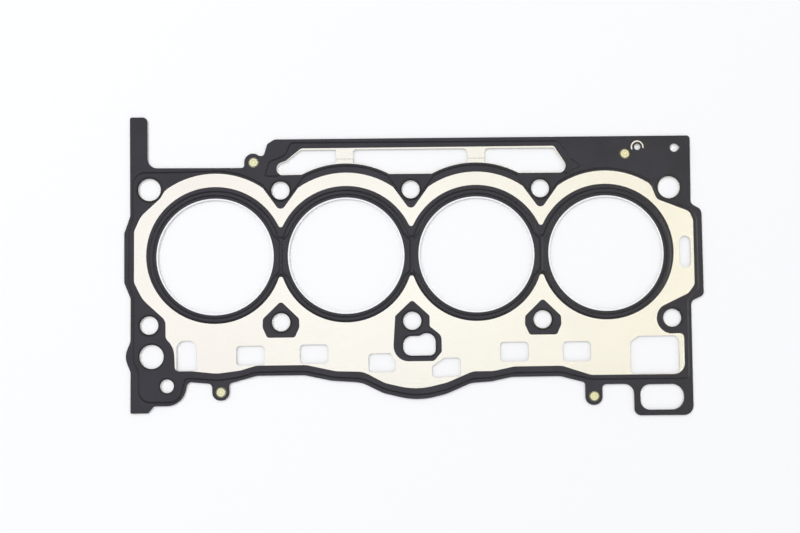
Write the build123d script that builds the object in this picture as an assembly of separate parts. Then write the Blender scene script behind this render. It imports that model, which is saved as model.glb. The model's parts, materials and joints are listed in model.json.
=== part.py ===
from build123d import *
import os
from math import acos, atan, cos, degrees, hypot, radians, sin

# Cylinder head gasket for a four-cylinder engine, millimetres, +Z up.
# X runs along the row of bores, +Y points to the side with the long windows, and the origin is
# midway between the second and third bores, in the plane the gasket rests on.

# Bores and bolts
bore_count = 4
bore_pitch = 82.0
bore_diameter = 71.4
bolt_row_offset = 41.4
end_bolt_extra_offset = 1.1
bolt_hole_diameter = 11.1
dowel_hole_diameter = 13.8

# Stack, from the middle plane outwards
middle_thickness = 0.4
sheet_thickness = 0.25
coating_thickness = 0.05
half_bead_height = 0.15
half_bead_run = 1.0
full_bead_height = 0.2
full_bead_run = 1.1

# Arm beside the upper bolts, from the bores outwards
arch_radius = 52.4
seal_line_inset = 2.1
left_arm_margin = 3.5
arch_coating_width = 5.9
window_line_inset = 1.1
window_arch_end = 61.8
window_depth = 9.7
top_edge_margin = 5.9
window_rim = 0.3
left_bridge = (-46.8, -36.2)
right_bridge = (36.2, 47.0)

left_arm_y = arch_radius + left_arm_margin
window_arch_radius = arch_radius + arch_coating_width
window_top_y = window_arch_radius + window_depth
top_edge_y = window_top_y + top_edge_margin

# Round holes: centre x, centre y, diameter
oil_feed_hole = (-162.5, -62.0, 14.7)
oil_drain_hole = (-152.9, -80.3, 8.2)
small_pin_hole = (144.5, top_edge_y - 6.5, 3.7)
large_pin_hole = (168.0, top_edge_y - 7.2, 5.0)
pin_collar_inner_radius = 3.3
pin_collar_outer_radius = 4.1

# Rivets
rivet_centres = [
    (-98.9, left_arm_y + 3.4),
    (136.4, top_edge_y - 10.8),
    (-119.5, -84.5),
    (113.6, -89.9),
]
rivet_shank_diameter = 3.4
rivet_head_diameter = 6.0
rivet_head_height = 0.35
rivet_head_round = 0.3
rivet_dimple_diameter = 2.8
rivet_dimple_depth = 0.15
rivet_clearance_diameter = 6.2

# Coating round the bores
bore_coating_inner_radius = 36.6
bore_coating_upper_radius = 44.0
bore_coating_lower_radius = 42.0
bore_coating_notch_radius = 1.5
coating_hole_margin = 0.1

# Full bead round the bores
bead_inner_radius = 38.0
bead_outer_radius = 41.7
bead_notch_radius = 1.5
bead_web_half_width = 1.4
bead_web_half_length = 9.5
bead_web_turn_angle = 20.5

middle_plane = (
    coating_thickness + sheet_thickness + half_bead_height + full_bead_height + middle_thickness / 2
)
total_height = 2 * middle_plane
sheet_level = middle_plane + middle_thickness / 2
coating_level = sheet_level + sheet_thickness

bore_xs = [bore_pitch * (n - (bore_count - 1) / 2) for n in range(bore_count)]
web_xs = [(bore_xs[n] + bore_xs[n + 1]) / 2 for n in range(bore_count - 1)]
column_xs = [bore_xs[0] - bore_pitch / 2] + web_xs + [bore_xs[-1] + bore_pitch / 2]
first_bolt_offset = bolt_row_offset + end_bolt_extra_offset


def bow(cx, cy, radius, start, end):
    """An arc of an outline: centre, radius, start and end angles in degrees."""
    return ("bow", cx, cy, radius, start, end)


def on_circle(cx, cy, radius, angle):
    return (cx + radius * cos(radians(angle)), cy + radius * sin(radians(angle)))


def entry(item):
    return on_circle(*item[1:5]) if item[0] == "bow" else item[:2]


def leaving(item):
    return on_circle(*item[1:4], item[5]) if item[0] == "bow" else item[:2]


def toward(here, there, distance):
    span = hypot(there[0] - here[0], there[1] - here[1])
    return (
        here[0] + (there[0] - here[0]) * distance / span,
        here[1] + (there[1] - here[1]) * distance / span,
    )


def rounded_corner(before, corner, after):
    """Tangent points and middle of the arc that rounds a corner (x, y, radius)."""
    here = corner[:2]
    near = toward(here, before, 1)
    far = toward(here, after, 1)
    half_span = hypot(near[0] - far[0], near[1] - far[1]) / 2
    half_lean = hypot((near[0] + far[0]) / 2 - here[0], (near[1] + far[1]) / 2 - here[1])
    setback = corner[2] * half_lean / half_span
    middle = ((near[0] + far[0]) / 2, (near[1] + far[1]) / 2)
    sag = corner[2] / half_span - corner[2]
    return toward(here, before, setback), toward(here, middle, sag), toward(here, after, setback)


def outline(items):
    """Closed wire through rounded corners (x, y, radius) and bows."""
    edges = []
    joints = []
    for n, item in enumerate(items):
        if item[0] == "bow":
            middle = on_circle(*item[1:4], (item[4] + item[5]) / 2)
            joints.append((entry(item), middle, leaving(item)))
        elif item[2] > 0:
            before = leaving(items[n - 1])
            after = entry(items[(n + 1) % len(items)])
            joints.append(rounded_corner(before, item, after))
        else:
            joints.append((item[:2], None, item[:2]))
    for n, (start, middle, end) in enumerate(joints):
        if middle is not None:
            edges.append(ThreePointArc(start, middle, end))
        following = joints[(n + 1) % len(joints)][0]
        if hypot(following[0] - end[0], following[1] - end[1]) > 0.001:
            edges.append(Line(end, following))
    return Wire(edges)


def disc(cx, cy, radius):
    return Wire(Edge.make_circle(radius, Plane((cx, cy, 0))))


def region(outside, inside=()):
    return Face(outside, list(inside))


def slab(face, level, thickness):
    return extrude(Pos(0, 0, level) * face, thickness, dir=(0, 0, 1))


def raised(face, level, height, run):
    """A plateau on the face whose sides slope inwards by the given run."""
    return extrude(Pos(0, 0, level) * face, height, dir=(0, 0, 1), taper=degrees(atan(run / height)))


sheet_outline = outline(
    [
        (-176.4, 88.5, 1.3),
        (-165.4, 88.5, 3.2),
        (-165.2, left_arm_y + 0.3, 6.0),
        (-104.7, left_arm_y, 2.0),
        bow(-99.2, left_arm_y + 3.6, 5.5, 175, 65),
        (-95.2, left_arm_y + 7.5, 1.8),
        (-92.4, left_arm_y + 7.7, 2.0),
        (-90.3, top_edge_y - 2.9, 2.8),
        (-85.7, top_edge_y, 4.0),
        (178.3, top_edge_y + 0.6, 2.2),
        (177.7, 31.0, 3.6),
        (184.5, 27.0, 4.2),
        (184.5, -27.3, 3.5),
        (176.3, -30.9, 4.0),
        (176.0, -102.4, 6.0),
        (138.7, -102.2, 4.2),
        (138.6, -82.5, 6.2),
        (118.8, -82.5, 2.6),
        (118.7, -95.3, 5.1),
        (107.9, -95.3, 5.1),
        (107.9, -81.2, 2.2),
        (92.5, -77.1, 12.0),
        (62.0, -77.2, 12.0),
        (49.0, -79.9, 20.0),
        (36.5, -80.6, 15.0),
        (21.0, -87.2, 20.0),
        (3.0, -91.5, 45.0),
        (-18.5, -86.3, 20.0),
        (-32.0, -79.5, 18.0),
        (-51.0, -78.1, 20.0),
        (-67.5, -74.5, 12.0),
        (-97.0, -74.5, 12.0),
        (-114.3, -79.1, 2.2),
        (-114.3, -89.6, 5.0),
        (-124.9, -89.6, 5.0),
        (-125.0, -79.2, 2.8),
        (-140.0, -77.8, 2.8),
        (-143.6, -92.6, 12.0),
        (-160.9, -92.6, 1.5),
        (-164.6, -96.9, 1.5),
        (-175.5, -96.9, 0.8),
        (-175.5, -71.3, 3.0),
        (-179.4, -61.9, 12.0),
        (-175.6, -52.4, 3.0),
        (-175.6, -25.6, 4.0),
        (-179.6, -15.8, 5.0),
        (-179.7, 15.2, 5.0),
        (-176.0, 25.9, 4.0),
    ]
)

# Edge of the perimeter coating on the side of the bores, clockwise from the left
arch_start = 124.8
arch_end = 55.2
web_tip_y = 27.7
web_tip_radius = 3.1
coating_inner_edge = outline(
    [
        (-173.5, 16.5, 6.0),
        (-169.5, 25.7, 15.0),
        (-157.3, 37.0, 4.0),
        (-154.7, 41.4, 3.0),
        bow(bore_xs[0], 0, arch_radius, arch_start, arch_end),
        (web_xs[0], web_tip_y, web_tip_radius),
        bow(bore_xs[1], 0, arch_radius, arch_start, arch_end),
        (web_xs[1], web_tip_y, web_tip_radius),
        bow(bore_xs[2], 0, arch_radius, arch_start, arch_end),
        (web_xs[2], web_tip_y, web_tip_radius),
        bow(bore_xs[3], 0, arch_radius, arch_start, 57.5),
        (152.9, 42.2, 4.0),
        (156.1, 34.0, 4.5),
        (176.6, 26.0, 5.0),
        (178.9, 20.7, 5.0),
        (178.8, -20.6, 5.0),
        (174.6, -26.0, 5.0),
        bow(column_xs[4], -41.6, 9.8, 128, 262),
        (171.2, -51.2, 2.6),
        (171.2, -76.7, 7.0),
        (112.0, -76.6, 12.0),
        (93.5, -70.6, 12.0),
        (63.5, -70.7, 12.0),
        (50.5, -73.4, 20.0),
        (37.6, -73.4, 12.0),
        (21.3, -80.2, 20.0),
        (2.0, -84.7, 45.0),
        (-17.5, -80.0, 15.0),
        (-31.0, -72.8, 14.0),
        (-48.0, -72.3, 20.0),
        (-66.5, -68.2, 12.0),
        (-97.5, -68.2, 12.0),
        (-107.5, -71.1, 20.0),
        (-122.0, -72.9, 25.0),
        (-137.5, -71.2, 8.0),
        (-148.0, -71.1, 2.6),
        bow(oil_feed_hole[0], oil_feed_hole[1], 14.1, 3, 46),
        (-153.8, -50.2, 3.0),
        (-153.9, -39.4, 6.0),
        (-168.3, -26.2, 20.0),
        (-173.5, -15.6, 5.0),
    ]
)

# Opening in the perimeter coating for the three long windows
window_sill_y = window_arch_radius * sin(radians(window_arch_end))
left_sill_y = window_sill_y - 0.3
coating_window_edge = outline(
    [
        (-69.0, window_top_y, 4.0),
        (91.2, window_top_y + 0.5, 2.0),
        (99.2, window_sill_y + 4.6, 4.5),
        (96.6, window_sill_y, 3.7),
        bow(bore_xs[2], 0, window_arch_radius, window_arch_end, 180 - window_arch_end),
        bow(bore_xs[1], 0, window_arch_radius, window_arch_end, 180 - window_arch_end),
        (-84.3, left_sill_y, 3.8),
        (-84.3, left_sill_y + 7.0, 4.0),
        (-78.4, window_top_y - 7.7, 5.0),
    ]
)

# The long windows in the steel: a bare rim is left inside the coating's edge
steel_sill_y = window_sill_y + window_rim
steel_left_sill_y = left_sill_y + window_rim
steel_top_y = window_top_y - 1.0
steel_arch_radius = window_arch_radius + window_rim
steel_arch_end = degrees(acos(window_arch_radius * cos(radians(window_arch_end)) / steel_arch_radius))


def angle_at(x, cx, radius):
    """Angle at which a circle round (cx, 0) reaches the given x, above the row of bores."""
    return degrees(acos((x - cx) / radius))


long_windows = [
    outline(
        [
            (-69.4, steel_top_y, 3.5),
            (left_bridge[0], steel_top_y, 0.8),
            bow(
                bore_xs[1],
                0,
                steel_arch_radius,
                angle_at(left_bridge[0], bore_xs[1], steel_arch_radius),
                180 - steel_arch_end,
            ),
            (-84.0, steel_left_sill_y, 3.6),
            (-84.0, left_sill_y + 6.8, 3.4),
            (-78.2, window_top_y - 8.0, 5.0),
        ]
    ),
    outline(
        [
            (left_bridge[1], steel_top_y + 0.1, 2.0),
            (right_bridge[0], steel_top_y + 0.3, 3.0),
            bow(
                bore_xs[2],
                0,
                steel_arch_radius,
                angle_at(right_bridge[0], bore_xs[2], steel_arch_radius),
                180 - steel_arch_end,
            ),
            bow(
                bore_xs[1],
                0,
                steel_arch_radius,
                steel_arch_end,
                angle_at(left_bridge[1], bore_xs[1], steel_arch_radius),
            ),
        ]
    ),
    outline(
        [
            (right_bridge[1], steel_top_y + 0.3, 2.5),
            (90.9, steel_top_y + 0.3, 2.0),
            (98.8, steel_sill_y + 4.3, 4.3),
            (96.4, steel_sill_y, 3.4),
            bow(
                bore_xs[2],
                0,
                steel_arch_radius,
                steel_arch_end,
                angle_at(right_bridge[1], bore_xs[2], steel_arch_radius),
            ),
        ]
    ),
]

# Openings between the bolts of the lower row, left to right, and the two at the right end
small_windows = [
    outline(
        [
            (-147.1, -52.2, 5.0),
            (-134.4, -52.2, 5.0),
            (-134.4, -71.3, 0.8),
            (-147.1, -71.0, 0.8),
        ]
    ),
    outline(
        [
            (-110.0, -55.8, 2.5),
            (-92.2, -55.8, 2.5),
            (-92.2, -68.1, 0.8),
            (-110.0, -68.1, 2.5),
        ]
    ),
    outline(
        [
            (-70.5, -55.5, 2.5),
            (-52.6, -55.5, 2.5),
            (-52.6, -67.4, 2.5),
            (-70.5, -67.4, 2.5),
        ]
    ),
    outline(
        [
            (-27.7, -61.5, 2.5),
            (-13.8, -61.5, 1.0),
            (-10.5, -67.0, 1.5),
            (-10.5, -73.3, 2.5),
            (-27.7, -73.3, 2.0),
        ]
    ),
    outline(
        [
            (19.5, -64.8, 1.5),
            (30.1, -64.8, 2.5),
            (30.1, -76.5, 1.5),
            (12.0, -77.2, 2.5),
            (12.0, -70.0, 2.0),
        ]
    ),
    outline(
        [
            (54.8, -55.3, 2.5),
            (72.9, -55.3, 2.5),
            (72.9, -67.6, 2.5),
            (54.8, -67.6, 2.5),
        ]
    ),
    outline(
        [
            (94.2, -55.5, 2.5),
            (112.1, -55.5, 2.5),
            (112.1, -68.0, 2.5),
            (94.2, -68.0, 2.5),
        ]
    ),
    outline(
        [
            (142.5, -52.5, 2.0),
            (168.0, -52.5, 4.0),
            (168.0, -76.4, 3.0),
            (136.9, -76.4, 2.5),
            (136.9, -56.0, 2.0),
        ]
    ),
    outline([bow(173.3, 6.8, 3.65, 180, 0), bow(173.3, -6.3, 3.65, 0, -180)]),
]
oval_port = outline(
    [
        (142.7, -82.9, 6.0),
        (170.1, -82.9, 7.5),
        (170.1, -98.8, 7.5),
        (142.7, -98.8, 6.0),
    ]
)
bean_port = outline(
    [
        bow(-0.3, -56.5, 5.6, 180, 90),
        (4.2, -50.9, 2.5),
        bow(8.9, -54.8, 5.6, 115, 0),
        (14.5, -63.2, 3.8),
        (-5.9, -63.2, 5.2),
    ]
)
pin_x, pin_y = large_pin_hole[:2]
pin_notch = outline(
    [
        (pin_x + 1.5, pin_y + 2.3, 0),
        (pin_x + 3.6, pin_y + 0.3, 0.5),
        (pin_x + 2.0, pin_y - 1.8, 0),
    ]
)

# Coated islands round the three inner bolts of the lower row
island_half_outline = [(11.3, -39.2, 2.5), (11.5, -44.6, 4.0), (8.6, -51.0, 2.0)]
island_top = (-28.2, 2.2)
outer_island_xs = (-82.1, 82.3)


def house_outline(cx):
    right = [(cx + x, y, r) for x, y, r in island_half_outline]
    left = [(cx - x, y, r) for x, y, r in reversed(island_half_outline)]
    return outline([(cx, *island_top)] + right + left)


centre_island_outline = outline(
    [
        (0, *island_top),
        (10.9, -38.3, 2.0),
        (10.9, -44.9, 1.5),
        (18.2, -50.9, 5.0),
        (18.3, -61.0, 2.5),
        (13.4, -66.7, 3.0),
        (-11.8, -66.7, 9.5),
        (-11.9, -56.0, 10.0),
        (-10.7, -38.3, 2.0),
    ]
)

# Slope that bounds the raised middle of each sheet, drawn where the slope starts
valley_tip_y = 31.0
valley_radius = 6.2
end_crest_radius = arch_radius + seal_line_inset
mid_crest_radius = window_arch_radius - window_line_inset
middle_plateau = outline(
    [
        (-177.2, 16.2, 5.0),
        (-174.7, 26.0, 4.0),
        (-174.7, end_crest_radius - 0.8, 7.5),
        (-140.0, end_crest_radius - 0.5, 30.0),
        bow(bore_xs[0], 0, end_crest_radius, 95, 56.5),
        (web_xs[0], valley_tip_y, valley_radius),
        bow(bore_xs[1], 0, mid_crest_radius, 117.6, 62.4),
        (web_xs[1], valley_tip_y, valley_radius),
        bow(bore_xs[2], 0, mid_crest_radius, 117.6, 62.4),
        (web_xs[2], valley_tip_y, valley_radius),
        bow(bore_xs[3], 0, end_crest_radius, 123.5, 57),
        (154.6, 43.0, 5.0),
        (157.2, 35.5, 4.5),
        (178.4, 27.8, 4.0),
        (181.7, 22.0, 5.0),
        (181.7, -23.0, 4.0),
        (174.7, -31.0, 4.0),
        (174.2, -80.0, 3.0),
        (112.0, -79.8, 12.0),
        (93.0, -75.1, 12.0),
        (64.5, -75.1, 12.0),
        (49.5, -77.9, 20.0),
        (37.0, -78.6, 12.0),
        (21.0, -85.2, 20.0),
        (2.5, -89.2, 45.0),
        (-17.5, -84.4, 15.0),
        (-31.5, -77.6, 16.0),
        (-49.0, -76.6, 20.0),
        (-67.0, -72.7, 12.0),
        (-97.5, -72.8, 12.0),
        (-109.0, -76.0, 20.0),
        (-121.0, -77.6, 25.0),
        (-137.5, -76.2, 8.0),
        (-141.6, -76.6, 1.5),
        (-144.9, -90.8, 8.0),
        (-171.0, -90.8, 8.0),
        (-171.0, -71.5, 6.0),
        (-174.1, -65.0, 6.0),
        (-174.1, -26.2, 4.0),
        (-177.2, -16.8, 4.0),
    ]
)
window_plateau = outline(
    [
        (-76.0, top_edge_y - 1.8, 4.0),
        (94.8, top_edge_y - 1.8, 4.0),
        (102.2, window_sill_y + 8.9, 10.0),
        (109.5, window_sill_y + 4.5, 1.3),
        (98.2, window_sill_y - 1.5, 1.3),
        (88.0, window_sill_y + 9.1, 2.0),
        (-74.0, window_sill_y + 9.1, 2.0),
        (-83.5, window_sill_y - 1.5, 1.3),
        (-92.6, window_sill_y - 1.1, 1.3),
        (-89.2, window_sill_y + 8.8, 4.0),
        (-79.3, window_top_y - 4.1, 6.0),
    ]
)


def bore_bead_inner(cx):
    """Inside edge of the full bead round one bore, drawn in towards the neighbouring webs."""
    flat = bore_pitch / 2 - bead_web_half_width
    turn = bead_web_turn_angle
    wall = [(cx + flat, bead_web_half_length, 2.0), (cx + flat, -bead_web_half_length, 2.0)]
    far_wall = [(cx - flat, -bead_web_half_length, 2.0), (cx - flat, bead_web_half_length, 2.0)]
    if cx == bore_xs[0]:
        return outline([bow(cx, 0, bead_inner_radius, 360 - turn, turn)] + wall)
    if cx == bore_xs[-1]:
        return outline([bow(cx, 0, bead_inner_radius, 180 - turn, turn - 180)] + far_wall)
    upper = bow(cx, 0, bead_inner_radius, 180 - turn, turn)
    lower = bow(cx, 0, bead_inner_radius, -turn, turn - 180)
    return outline([upper] + wall + [lower] + far_wall)


def notch(radius, notch_radius):
    """Distance of a notch's centre from the row of bores, and its angle seen from a bore."""
    rise = ((radius + notch_radius) ** 2 - (bore_pitch / 2) ** 2) ** 0.5
    return rise, degrees(atan(rise / (bore_pitch / 2)))


def joined_rings(upper_radius, lower_radius, notch_radius):
    """Outline round all the bores, with a rounded notch between neighbours above and below."""
    up_rise, up_angle = notch(upper_radius, notch_radius)
    low_rise, low_angle = notch(lower_radius, notch_radius)
    end_radius = (upper_radius + lower_radius) / 2
    end_rise = (upper_radius - lower_radius) / 2
    items = [bow(bore_xs[0], end_rise, end_radius, 270, 90)]
    for n, cx in enumerate(bore_xs):
        start = 90 if n == 0 else 180 - up_angle
        end = 90 if n == bore_count - 1 else up_angle
        items.append(bow(cx, 0, upper_radius, start, end))
        if n < bore_count - 1:
            items.append(bow(web_xs[n], up_rise, notch_radius, 180 + up_angle, 360 - up_angle))
    items.append(bow(bore_xs[-1], end_rise, end_radius, 90, -90))
    for n, cx in reversed(list(enumerate(bore_xs))):
        start = -90 if n == bore_count - 1 else -low_angle
        end = -90 if n == 0 else low_angle - 180
        items.append(bow(cx, 0, lower_radius, start, end))
        if n > 0:
            items.append(bow(web_xs[n - 1], -low_rise, notch_radius, low_angle, 180 - low_angle))
    return outline(items)


bolt_holes = [(column_xs[0], -first_bolt_offset, bolt_hole_diameter)]
bolt_holes += [(x, -bolt_row_offset, bolt_hole_diameter) for x in column_xs[1:]]
bolt_holes += [(x, bolt_row_offset, bolt_hole_diameter) for x in web_xs]
dowel_holes = [
    (column_xs[0], first_bolt_offset, dowel_hole_diameter),
    (column_xs[-1], bolt_row_offset, dowel_hole_diameter),
]
sealed_holes = bolt_holes[:5] + [dowel_holes[0], oil_feed_hole, oil_drain_hole]
round_holes = bolt_holes + dowel_holes + [oil_feed_hole, oil_drain_hole, small_pin_hole, large_pin_hole]


def punched(margin=0):
    return [disc(x, y, d / 2 + margin) for x, y, d in round_holes]


def embossing():
    """The raised shape pressed into each sheet, standing on the plane z = 0."""
    bumps = raised(region(middle_plateau), 0, half_bead_height, half_bead_run)
    bumps += raised(region(window_plateau), 0, half_bead_height, half_bead_run)
    for x, y, diameter in sealed_holes:
        foot = diameter / 2 + coating_hole_margin
        bumps -= Pos(x, y, half_bead_height / 2) * Cone(foot, foot + half_bead_run, half_bead_height)
    bumps -= raised(region(bean_port), 0, half_bead_height, -half_bead_run)
    rings = joined_rings(bead_outer_radius, bead_outer_radius, bead_notch_radius)
    bead_face = region(rings, [bore_bead_inner(x) for x in bore_xs])
    return bumps + raised(bead_face, half_bead_height, full_bead_height, full_bead_run)


def formed(bumps, level, thickness):
    """A thin sheet at the given level that follows the embossing on both faces."""
    flat = slab(region(sheet_outline), level, thickness)
    return flat + Pos(0, 0, level + thickness) * bumps - Pos(0, 0, level) * bumps


def cut_through(wires):
    return Compound([slab(region(wire), 0, total_height) for wire in wires])


def rivet(x, y):
    """A rivet with a rounded, dimpled head on both faces of the gasket."""
    seat = (Align.CENTER, Align.CENTER, Align.MIN)
    grip = 2 * (coating_level - middle_plane)
    dimple_floor = rivet_head_height - rivet_dimple_depth
    head = Cylinder(rivet_head_diameter / 2, rivet_head_height, align=seat)
    head = fillet(head.edges().sort_by(Axis.Z)[-1], rivet_head_round)
    head -= Pos(0, 0, dimple_floor) * Cylinder(rivet_dimple_diameter / 2, rivet_dimple_depth, align=seat)
    upper_head = Pos(x, y, coating_level) * head
    shank = Pos(x, y, middle_plane) * Cylinder(rivet_shank_diameter / 2, grip)
    return shank + upper_head + upper_head.mirror(Plane.XY.offset(middle_plane))


def save(node, shape):
    export_step(shape, os.path.join("parts", node + ".step"))


os.makedirs("parts", exist_ok=True)

rivet_holes = [disc(x, y, rivet_shank_diameter / 2) for x, y in rivet_centres]
bore_holes = [disc(x, 0, bore_diameter / 2) for x in bore_xs]
steel_holes = bore_holes + punched() + long_windows + small_windows + [oval_port, bean_port] + rivet_holes
pin_collar = outline(
    [
        bow(*small_pin_hole[:2], pin_collar_outer_radius, -10, 205),
        bow(*small_pin_hole[:2], pin_collar_inner_radius, 205, -10),
    ]
)

bumps = embossing()
steel_cutter = cut_through(steel_holes + [pin_notch])
coating_margins = punched(coating_hole_margin) + [pin_notch, oval_port, bean_port, pin_collar]
coating_margins += [disc(x, y, rivet_clearance_diameter / 2) for x, y in rivet_centres]
coating_cutter = cut_through(coating_margins)

upper_layer = formed(bumps, sheet_level, sheet_thickness) - steel_cutter
middle_blank = slab(region(sheet_outline), middle_plane - middle_thickness / 2, middle_thickness)
coating_blank = formed(bumps, coating_level, coating_thickness) - coating_cutter

bore_coating_outline = joined_rings(
    bore_coating_upper_radius, bore_coating_lower_radius, bore_coating_notch_radius
)
fields = {
    "rim_coating": region(sheet_outline, [coating_inner_edge, coating_window_edge]),
    "bore_coating": region(bore_coating_outline, [disc(x, 0, bore_coating_inner_radius) for x in bore_xs]),
    "bolt_coating_left": region(house_outline(outer_island_xs[0])),
    "bolt_coating_centre": region(centre_island_outline),
    "bolt_coating_right": region(house_outline(outer_island_xs[1])),
}

pieces = {"layer": upper_layer}
for name, field in fields.items():
    pieces[name] = coating_blank & slab(field, 0, total_height)

for name, shape in pieces.items():
    save("upper_" + name, shape)
    save("lower_" + name, shape.mirror(Plane.XY.offset(middle_plane)))
save("middle_layer", middle_blank - steel_cutter)
for number, (x, y) in enumerate(rivet_centres, start=1):
    save("rivet_" + str(number), rivet(x, y))
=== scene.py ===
import json
from math import pi, radians

import bpy
from mathutils import Matrix, Vector


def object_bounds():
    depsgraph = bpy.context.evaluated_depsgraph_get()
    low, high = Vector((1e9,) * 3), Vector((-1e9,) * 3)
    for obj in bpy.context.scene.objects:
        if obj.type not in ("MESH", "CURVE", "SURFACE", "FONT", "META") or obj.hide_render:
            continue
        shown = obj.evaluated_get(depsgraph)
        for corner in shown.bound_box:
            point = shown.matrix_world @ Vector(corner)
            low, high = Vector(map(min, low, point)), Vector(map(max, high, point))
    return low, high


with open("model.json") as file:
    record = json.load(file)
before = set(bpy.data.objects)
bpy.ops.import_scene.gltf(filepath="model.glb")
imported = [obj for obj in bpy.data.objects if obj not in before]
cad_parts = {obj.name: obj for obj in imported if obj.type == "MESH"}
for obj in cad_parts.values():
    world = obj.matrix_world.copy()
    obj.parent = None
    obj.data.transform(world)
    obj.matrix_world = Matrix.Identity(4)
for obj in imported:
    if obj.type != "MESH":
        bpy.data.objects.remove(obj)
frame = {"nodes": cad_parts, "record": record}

cad_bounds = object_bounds()

# Camera, as measured from the photograph: nearly straight above
LENS_MM = 45.0
SENSOR_MM = 36.0
NEAREST_SEEN = 0.01
AIM_X, AIM_Y = -0.0073024, -0.0072774
DISTANCE = 0.6282
TILT_X, TILT_Y, TILT_Z = -0.0553825, 0.0227703, 0.0104328

# Metals: colour and roughness
SHEET_COLOUR, SHEET_ROUGHNESS = (0.98, 0.955, 0.92), 0.20
CORE_COLOUR, CORE_ROUGHNESS = (0.80, 0.78, 0.74), 0.28
RIVET_COLOUR, RIVET_ROUGHNESS = (0.90, 0.885, 0.60), 0.22
# Painted shade on the rounded rims of the rivet heads
RIVET_RIM_PAINTED_SHADE = (0.20, 0.20, 0.08)

# Their broad mottling: the colour is multiplied by the tint where it is darkest
TINT = 0.975
TINT_SCALE = 30.0
TINT_FROM, TINT_TO = 0.3, 0.7

# Their fine rolling grain, long along X; it takes from the roughness and adds to it
GRAIN_SCALE = 4000.0
GRAIN_STRETCH = (0.05, 1.0, 1.0)
GRAIN_SMOOTHER, GRAIN_ROUGHER = 0.05, 0.08
GRAIN_STRENGTH, GRAIN_HEIGHT = 0.25, 0.00002

# The bare rims end within this reach of the bores, and the rest of the bare steel starts beyond it
BARE_RIM_REACH = 0.003
# Painted reflection: the bare rims are near-white and less metallic, for the white surroundings they mirror
BARE_RIM_PAINTED_REFLECTION = (0.955, 0.975, 0.995)
BARE_RIM_REFLECTION_METAL = 0.3

# Rivet heads: painted shade, as brightness by distance from the middle, in head widths; less round the
# dimple, and down to the dark rim colour at the edge
RIVET_PAINTED_SHADE_RINGS = [(0.18, 1.0), (0.225, 0.7), (0.27, 1.0), (0.40, 1.0), (0.45, 0.0)]

# Printed coating: its colour in broad patches, and a fine mottle that sets roughness and relief
PRINT_PATCHES = [(0.35, (0.0135, 0.0125, 0.0220)), (0.65, (0.0195, 0.0182, 0.0300))]
PRINT_PATCH_SCALE = 45.0
PRINT_MOTTLE_SCALE = 900.0
PRINT_SMOOTH, PRINT_ROUGH = 0.16, 0.24
PRINT_STRENGTH, PRINT_HEIGHT = 0.3, 0.00003

# Where it is darker: painted shade on slopes, by how upright the surface is, and darker near the edges of
# small holes
SLOPE_SHADE_AND_HOLE_DARK_COLOUR = (0.0035, 0.0032, 0.0060)
DARKENED_ROUGHER = 0.26
SLOPE_UPRIGHT, FLAT_UPRIGHT = 0.989, 0.998
DARKENED_WITHIN, UNDARKENED_BEYOND = 0.0006, 0.0021

# Edges of the embossing sharper than this stay crisp
CRISP_ANGLE = radians(4.0)

# Floor and light; the lamp's share is how bright it alone makes a white floor
FLOOR_HALF = 3.0
FLOOR_LEVEL = -0.00001
FLOOR_COLOUR = (0.965, 0.97, 0.985)
BACKDROP_COLOUR = (0.98, 0.985, 1)
AMBIENT = 0.78
LAMP_SHARE = 0.23
LAMP_PLACE = (-1.9, 1.6, 3.5)
LAMP_SIZE = 1.0

# What shiny surfaces see by the direction they reflect: white overhead and warmer to the right, a bright
# strip light beyond each end, dark gaps beyond the long sides, and pale walls all round. Each row is an
# axis, where along it the change starts and ends, and the colour from there on.
OVERHEAD = (1.03, 1.01, 0.99)
PALE_WALL = (0.72, 0.72, 0.74)
DARK_GAP = (0.05, 0.05, 0.06)
SURROUND = [
    ("X", -0.20, -0.05, (1.075, 1.075, 1.03)),
    ("X", 0.0, 0.45, (0.95, 0.915, 0.72)),
    ("X", 0.59, 0.67, (15.0, 14.8, 14.2)),
    ("X", 0.72, 0.80, PALE_WALL),
    ("X", -0.56, -0.64, (4.5, 4.5, 4.5)),
    ("X", -0.70, -0.78, PALE_WALL),
    ("Y", 0.24, 0.35, DARK_GAP),
    ("Y", 0.56, 0.68, PALE_WALL),
    ("Y", -0.14, -0.23, DARK_GAP),
    ("Y", -0.48, -0.60, PALE_WALL),
]


def in_scene(name, data):
    """A new object of the scene."""
    obj = bpy.data.objects.new(name, data)
    bpy.context.scene.collection.objects.link(obj)
    return obj


# Node helpers

def nodes_of(owner):
    """The emptied node tree of a material or world."""
    owner.use_nodes = True
    tree = owner.node_tree
    tree.nodes.clear()
    return tree


def add(tree, kind, **values):
    """A node with some of its properties and input values set by name."""
    node = tree.nodes.new(kind)
    for name, value in values.items():
        if hasattr(node, name):
            setattr(node, name, value)
        else:
            node.inputs[name.replace("_", " ")].default_value = value
    return node


def maths(tree, operation, *values):
    """The result of an operation on values that are sockets or numbers."""
    node = add(tree, "ShaderNodeMath", operation=operation)
    for socket, value in zip(node.inputs, values):
        if isinstance(value, float):
            socket.default_value = value
        else:
            tree.links.new(value, socket)
    return node.outputs["Value"]


def span_of(tree, value, start, end, at_start=0.0, at_end=1.0, kind="LINEAR"):
    """A value from start to end turned into one from at_start to at_end, and held beyond them."""
    span = add(
        tree, "ShaderNodeMapRange", interpolation_type=kind,
        From_Min=start, From_Max=end, To_Min=at_start, To_Max=at_end,
    )
    tree.links.new(value, span.inputs["Value"])
    return span.outputs["Result"]


def step_of(tree, value, start, end):
    """0 before the start, 1 past the end, smooth between; the end may be the lower one."""
    return span_of(tree, value, start, end, kind="SMOOTHSTEP")


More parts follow.
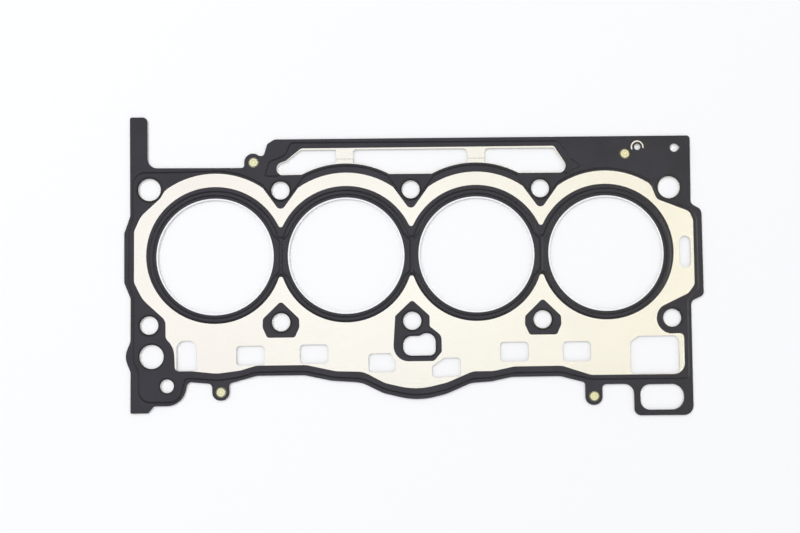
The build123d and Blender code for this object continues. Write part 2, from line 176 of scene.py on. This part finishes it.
def blend_colours(tree, factor, first, second):
    """A mix of two colours, each a socket or three numbers, by a factor socket."""
    mix = add(tree, "ShaderNodeMix", data_type="RGBA")
    tree.links.new(factor, mix.inputs["Factor"])
    for name, colour in (("A", first), ("B", second)):
        if isinstance(colour, tuple):
            mix.inputs[name].default_value = (*colour, 1)
        else:
            tree.links.new(colour, mix.inputs[name])
    return mix.outputs["Result"]


def blend_shaders(tree, factor, first, second):
    """A mix of two shaders by a factor socket."""
    mix = add(tree, "ShaderNodeMixShader")
    for socket, source in zip(mix.inputs, (factor, first, second)):
        tree.links.new(source, socket)
    return mix.outputs["Shader"]


def ramp_of(tree, value, stops):
    """A colour ramp through stops, each a spot and a colour."""
    ramp = add(tree, "ShaderNodeValToRGB")
    elements = ramp.color_ramp.elements
    while len(elements) < len(stops):
        elements.new(0.5)
    for element, (spot, colour) in zip(elements, stops):
        element.position = spot
        element.color = (*colour, 1)
    tree.links.new(value, ramp.inputs["Fac"])
    return ramp.outputs["Color"]


def noise(tree, place, scale, detail):
    """Mottling over a place socket, finer for a greater scale."""
    node = add(tree, "ShaderNodeTexNoise", Scale=scale, Detail=detail)
    tree.links.new(place, node.inputs["Vector"])
    return node.outputs["Fac"]


def parts_of(tree, vector):
    """The X, Y and Z of a vector socket."""
    parts = add(tree, "ShaderNodeSeparateXYZ")
    tree.links.new(vector, parts.inputs["Vector"])
    return parts.outputs


def level_place(tree, place):
    """A place with its height left out."""
    parts = parts_of(tree, place)
    flat = add(tree, "ShaderNodeCombineXYZ")
    for axis in ("X", "Y"):
        tree.links.new(parts[axis], flat.inputs[axis])
    return flat.outputs["Vector"]


def distance_from(tree, place, centre):
    """How far a place socket is from a centre."""
    reach = add(tree, "ShaderNodeVectorMath", operation="DISTANCE")
    tree.links.new(place, reach.inputs[0])
    reach.inputs[1].default_value = centre
    return reach.outputs["Value"]


def distance_past(tree, place, holes):
    """How far a place lies outside the nearest of some round holes, up to a metre."""
    flat = level_place(tree, place)
    nearest = 1.0
    for centre, radius in holes:
        past = maths(tree, "SUBTRACT", distance_from(tree, flat, centre), radius)
        nearest = maths(tree, "MINIMUM", nearest, past)
    return nearest


def add_relief(tree, shader, height, strength, distance):
    """Fine bumps on a shader from a height socket."""
    bump = add(tree, "ShaderNodeBump", Strength=strength, Distance=distance)
    tree.links.new(height, bump.inputs["Height"])
    tree.links.new(bump.outputs["Normal"], shader.inputs["Normal"])


# Round holes as the frame states them

def circle_of(mount):
    """The centre of a round hole, on the plane, and its radius."""
    x, y = mount["pos_m"][:2]
    return Vector((x, y, 0)), mount["dims"]["r_mm"] / 1000


round_holes = {
    mount["name"]: circle_of(mount) for mount in frame["record"]["mounts"] if mount["kind"] == "bore"
}
for opening in frame["record"]["physics"]["openings"]:
    if opening["name"].startswith("oil"):
        low, high = (Vector(corner) for corner in opening["box_m"])
        centre = (low + high) / 2
        round_holes[opening["name"]] = (Vector((centre.x, centre.y, 0)), (high.x - low.x) / 2)
bores = [hole for name, hole in round_holes.items() if name.startswith("cylinder")]
small_holes = [hole for name, hole in round_holes.items() if not name.startswith("cylinder")]


# Looks

def new_look(name, kind):
    """A material, its tree and its one shader."""
    material = bpy.data.materials.new(name)
    tree = nodes_of(material)
    out = add(tree, "ShaderNodeOutputMaterial")
    shader = add(tree, kind)
    tree.links.new(shader.outputs["BSDF"], out.inputs["Surface"])
    return material, tree, shader


def metal(name, colour, roughness, rim_reflection=None, rim_shade=None):
    """Rolled metal, with an optional painted reflection colour round the bores and an optional painted shade
    colour for the rims of rivet heads.
    """
    material, tree, shader = new_look(name, "ShaderNodeBsdfPrincipled")
    shader.inputs["Metallic"].default_value = 1.0
    place = add(tree, "ShaderNodeNewGeometry").outputs["Position"]
    mottle = noise(tree, place, TINT_SCALE, detail=3.0)
    darkest = tuple(c * TINT for c in colour)
    base = ramp_of(tree, mottle, [(TINT_FROM, darkest), (TINT_TO, colour)])
    if rim_reflection:
        # Painted reflection on the bare rims round the bores: near-white and less metallic
        near = maths(tree, "LESS_THAN", distance_past(tree, place, bores), BARE_RIM_REACH)
        base = blend_colours(tree, near, base, rim_reflection)
        share = span_of(tree, near, 0.0, 1.0, 1.0, BARE_RIM_REFLECTION_METAL)
        tree.links.new(share, shader.inputs["Metallic"])
    if rim_shade:
        # Painted shade on the rivet heads: darker round the dimple and at the rounded rim
        spot = add(tree, "ShaderNodeTexCoord").outputs["Generated"]
        reach = distance_from(tree, level_place(tree, spot), (0.5, 0.5, 0.0))
        rivet_shade = ramp_of(tree, reach, [(far, (level,) * 3) for far, level in RIVET_PAINTED_SHADE_RINGS])
        base = blend_colours(tree, rivet_shade, rim_shade, base)
    tree.links.new(base, shader.inputs["Base Color"])
    stretch = add(tree, "ShaderNodeMapping", Scale=GRAIN_STRETCH)
    tree.links.new(place, stretch.inputs["Vector"])
    grain = noise(tree, stretch.outputs["Vector"], GRAIN_SCALE, detail=2.0)
    rough = span_of(tree, grain, 0.0, 1.0, roughness - GRAIN_SMOOTHER, roughness + GRAIN_ROUGHER)
    tree.links.new(rough, shader.inputs["Roughness"])
    add_relief(tree, shader, grain, GRAIN_STRENGTH, GRAIN_HEIGHT)
    return material


def rubber_print(name):
    """Black print, with painted shade on slopes and darker near small holes, and rougher there."""
    material, tree, shader = new_look(name, "ShaderNodeBsdfPrincipled")
    surface = add(tree, "ShaderNodeNewGeometry").outputs
    place = surface["Position"]
    mottle = noise(tree, place, PRINT_MOTTLE_SCALE, detail=4.0)
    colour = ramp_of(tree, noise(tree, place, PRINT_PATCH_SCALE, detail=3.0), PRINT_PATCHES)
    # Painted shade on the slopes of the embossing, and darker near small holes
    upright = maths(tree, "ABSOLUTE", parts_of(tree, surface["Normal"])["Z"])
    off_slopes = span_of(tree, upright, SLOPE_UPRIGHT, FLAT_UPRIGHT)
    past = distance_past(tree, place, small_holes)
    off_edges = step_of(tree, past, DARKENED_WITHIN, UNDARKENED_BEYOND)
    undarkened = maths(tree, "MULTIPLY", off_slopes, off_edges)
    base = blend_colours(tree, undarkened, SLOPE_SHADE_AND_HOLE_DARK_COLOUR, colour)
    tree.links.new(base, shader.inputs["Base Color"])
    smooth = span_of(tree, mottle, 0.0, 1.0, PRINT_SMOOTH, PRINT_ROUGH)
    rougher = span_of(tree, undarkened, 0.0, 1.0, DARKENED_ROUGHER, 0.0)
    tree.links.new(maths(tree, "ADD", smooth, rougher), shader.inputs["Roughness"])
    add_relief(tree, shader, mottle, PRINT_STRENGTH, PRINT_HEIGHT)
    return material


looks = {
    "sheet": metal("sheet_steel", SHEET_COLOUR, SHEET_ROUGHNESS, rim_reflection=BARE_RIM_PAINTED_REFLECTION),
    "core": metal("core_steel", CORE_COLOUR, CORE_ROUGHNESS),
    "coating": rubber_print("coating_print"),
    "rivet": metal("rivet_brass", RIVET_COLOUR, RIVET_ROUGHNESS, rim_shade=RIVET_RIM_PAINTED_SHADE),
}


def look_of(node):
    """The look of a piece, by its name."""
    if "coating" in node:
        return looks["coating"]
    if node.startswith("rivet"):
        return looks["rivet"]
    return looks["core" if node.startswith("middle") else "sheet"]


def smooth_tree(limit):
    """Shades slopes smoothly along their length, with crisp lines where edges are sharper than the limit."""
    tree = bpy.data.node_groups.new("smooth_slopes", "GeometryNodeTree")
    for way in ("INPUT", "OUTPUT"):
        tree.interface.new_socket("Geometry", in_out=way, socket_type="NodeSocketGeometry")
    start = add(tree, "NodeGroupInput")
    end = add(tree, "NodeGroupOutput")
    faces = add(tree, "GeometryNodeSetShadeSmooth")
    edges = add(tree, "GeometryNodeSetShadeSmooth", domain="EDGE", Shade_Smooth=False)
    angle = add(tree, "GeometryNodeInputMeshEdgeAngle")
    compare = add(tree, "FunctionNodeCompare", operation="GREATER_THAN", B=limit)
    tree.links.new(start.outputs["Geometry"], faces.inputs["Geometry"])
    tree.links.new(faces.outputs["Geometry"], edges.inputs["Geometry"])
    tree.links.new(angle.outputs["Unsigned Angle"], compare.inputs["A"])
    tree.links.new(compare.outputs["Result"], edges.inputs["Selection"])
    tree.links.new(edges.outputs["Geometry"], end.inputs["Geometry"])
    return tree


smoothing = smooth_tree(CRISP_ANGLE)
for name, obj in frame["nodes"].items():
    obj.data.materials.clear()
    obj.data.materials.append(look_of(name))
    modifier = obj.modifiers.new("smooth_slopes", "NODES")
    modifier.node_group = smoothing

# Floor
floor_corners = [
    (x * FLOOR_HALF, y * FLOOR_HALF, FLOOR_LEVEL) for x, y in ((-1, -1), (1, -1), (1, 1), (-1, 1))
]
floor_mesh = bpy.data.meshes.new("floor")
floor_mesh.from_pydata(floor_corners, [], [(0, 1, 2, 3)])
floor_look, tree, floor_shader = new_look("floor_white", "ShaderNodeBsdfDiffuse")
floor_shader.inputs["Color"].default_value = (*FLOOR_COLOUR, 1)
floor_mesh.materials.append(floor_look)
floor = in_scene("floor", floor_mesh)

# World: an even white light, with a face of its own for shiny surfaces and one for the camera
world = bpy.data.worlds.new("studio")
bpy.context.scene.world = world
tree = nodes_of(world)
direction = parts_of(tree, add(tree, "ShaderNodeTexCoord").outputs["Generated"])
seen = OVERHEAD
for axis, start, end, colour in SURROUND:
    seen = blend_colours(tree, step_of(tree, direction[axis], start, end), seen, colour)
softbox = add(tree, "ShaderNodeBackground", Strength=1.0)
tree.links.new(seen, softbox.inputs["Color"])
ambient = add(tree, "ShaderNodeBackground", Strength=AMBIENT, Color=(1, 1, 1, 1))
backdrop = add(tree, "ShaderNodeBackground", Strength=1.0, Color=(*BACKDROP_COLOUR, 1))
path = add(tree, "ShaderNodeLightPath")
lit = blend_shaders(
    tree, path.outputs["Is Glossy Ray"], ambient.outputs["Background"], softbox.outputs["Background"]
)
shown = blend_shaders(tree, path.outputs["Is Camera Ray"], lit, backdrop.outputs["Background"])
tree.links.new(shown, add(tree, "ShaderNodeOutputWorld").inputs["Surface"])

# One soft square lamp from the upper left, aimed at the part
lamp_data = bpy.data.lights.new("key", "AREA")
lamp_data.shape = "SQUARE"
lamp_data.size = LAMP_SIZE
lamp_distance = Vector(LAMP_PLACE).length
lamp_data.energy = LAMP_SHARE * pi ** 2 * lamp_distance ** 3 / LAMP_PLACE[2]
lamp = in_scene("key", lamp_data)
lamp.location = LAMP_PLACE
lamp.rotation_euler = (-Vector(LAMP_PLACE)).to_track_quat("-Z", "Y").to_euler()
lamp.visible_glossy = False

# Camera
camera_data = bpy.data.cameras.new("camera")
camera_data.lens = LENS_MM
camera_data.sensor_width = SENSOR_MM
camera_data.clip_start = NEAREST_SEEN
camera = in_scene("camera", camera_data)
turn = (
    Matrix.Rotation(TILT_Z, 3, "Z") @ Matrix.Rotation(TILT_Y, 3, "Y") @ Matrix.Rotation(TILT_X, 3, "X")
).transposed()
top_z = cad_bounds[1][2]
camera_place = Vector((AIM_X, AIM_Y, top_z)) + turn @ Vector((0, 0, DISTANCE))
camera.matrix_world = Matrix.Translation(camera_place) @ turn.to_4x4()
bpy.context.scene.camera = camera
bpy.context.scene.view_settings.view_transform = "Standard"
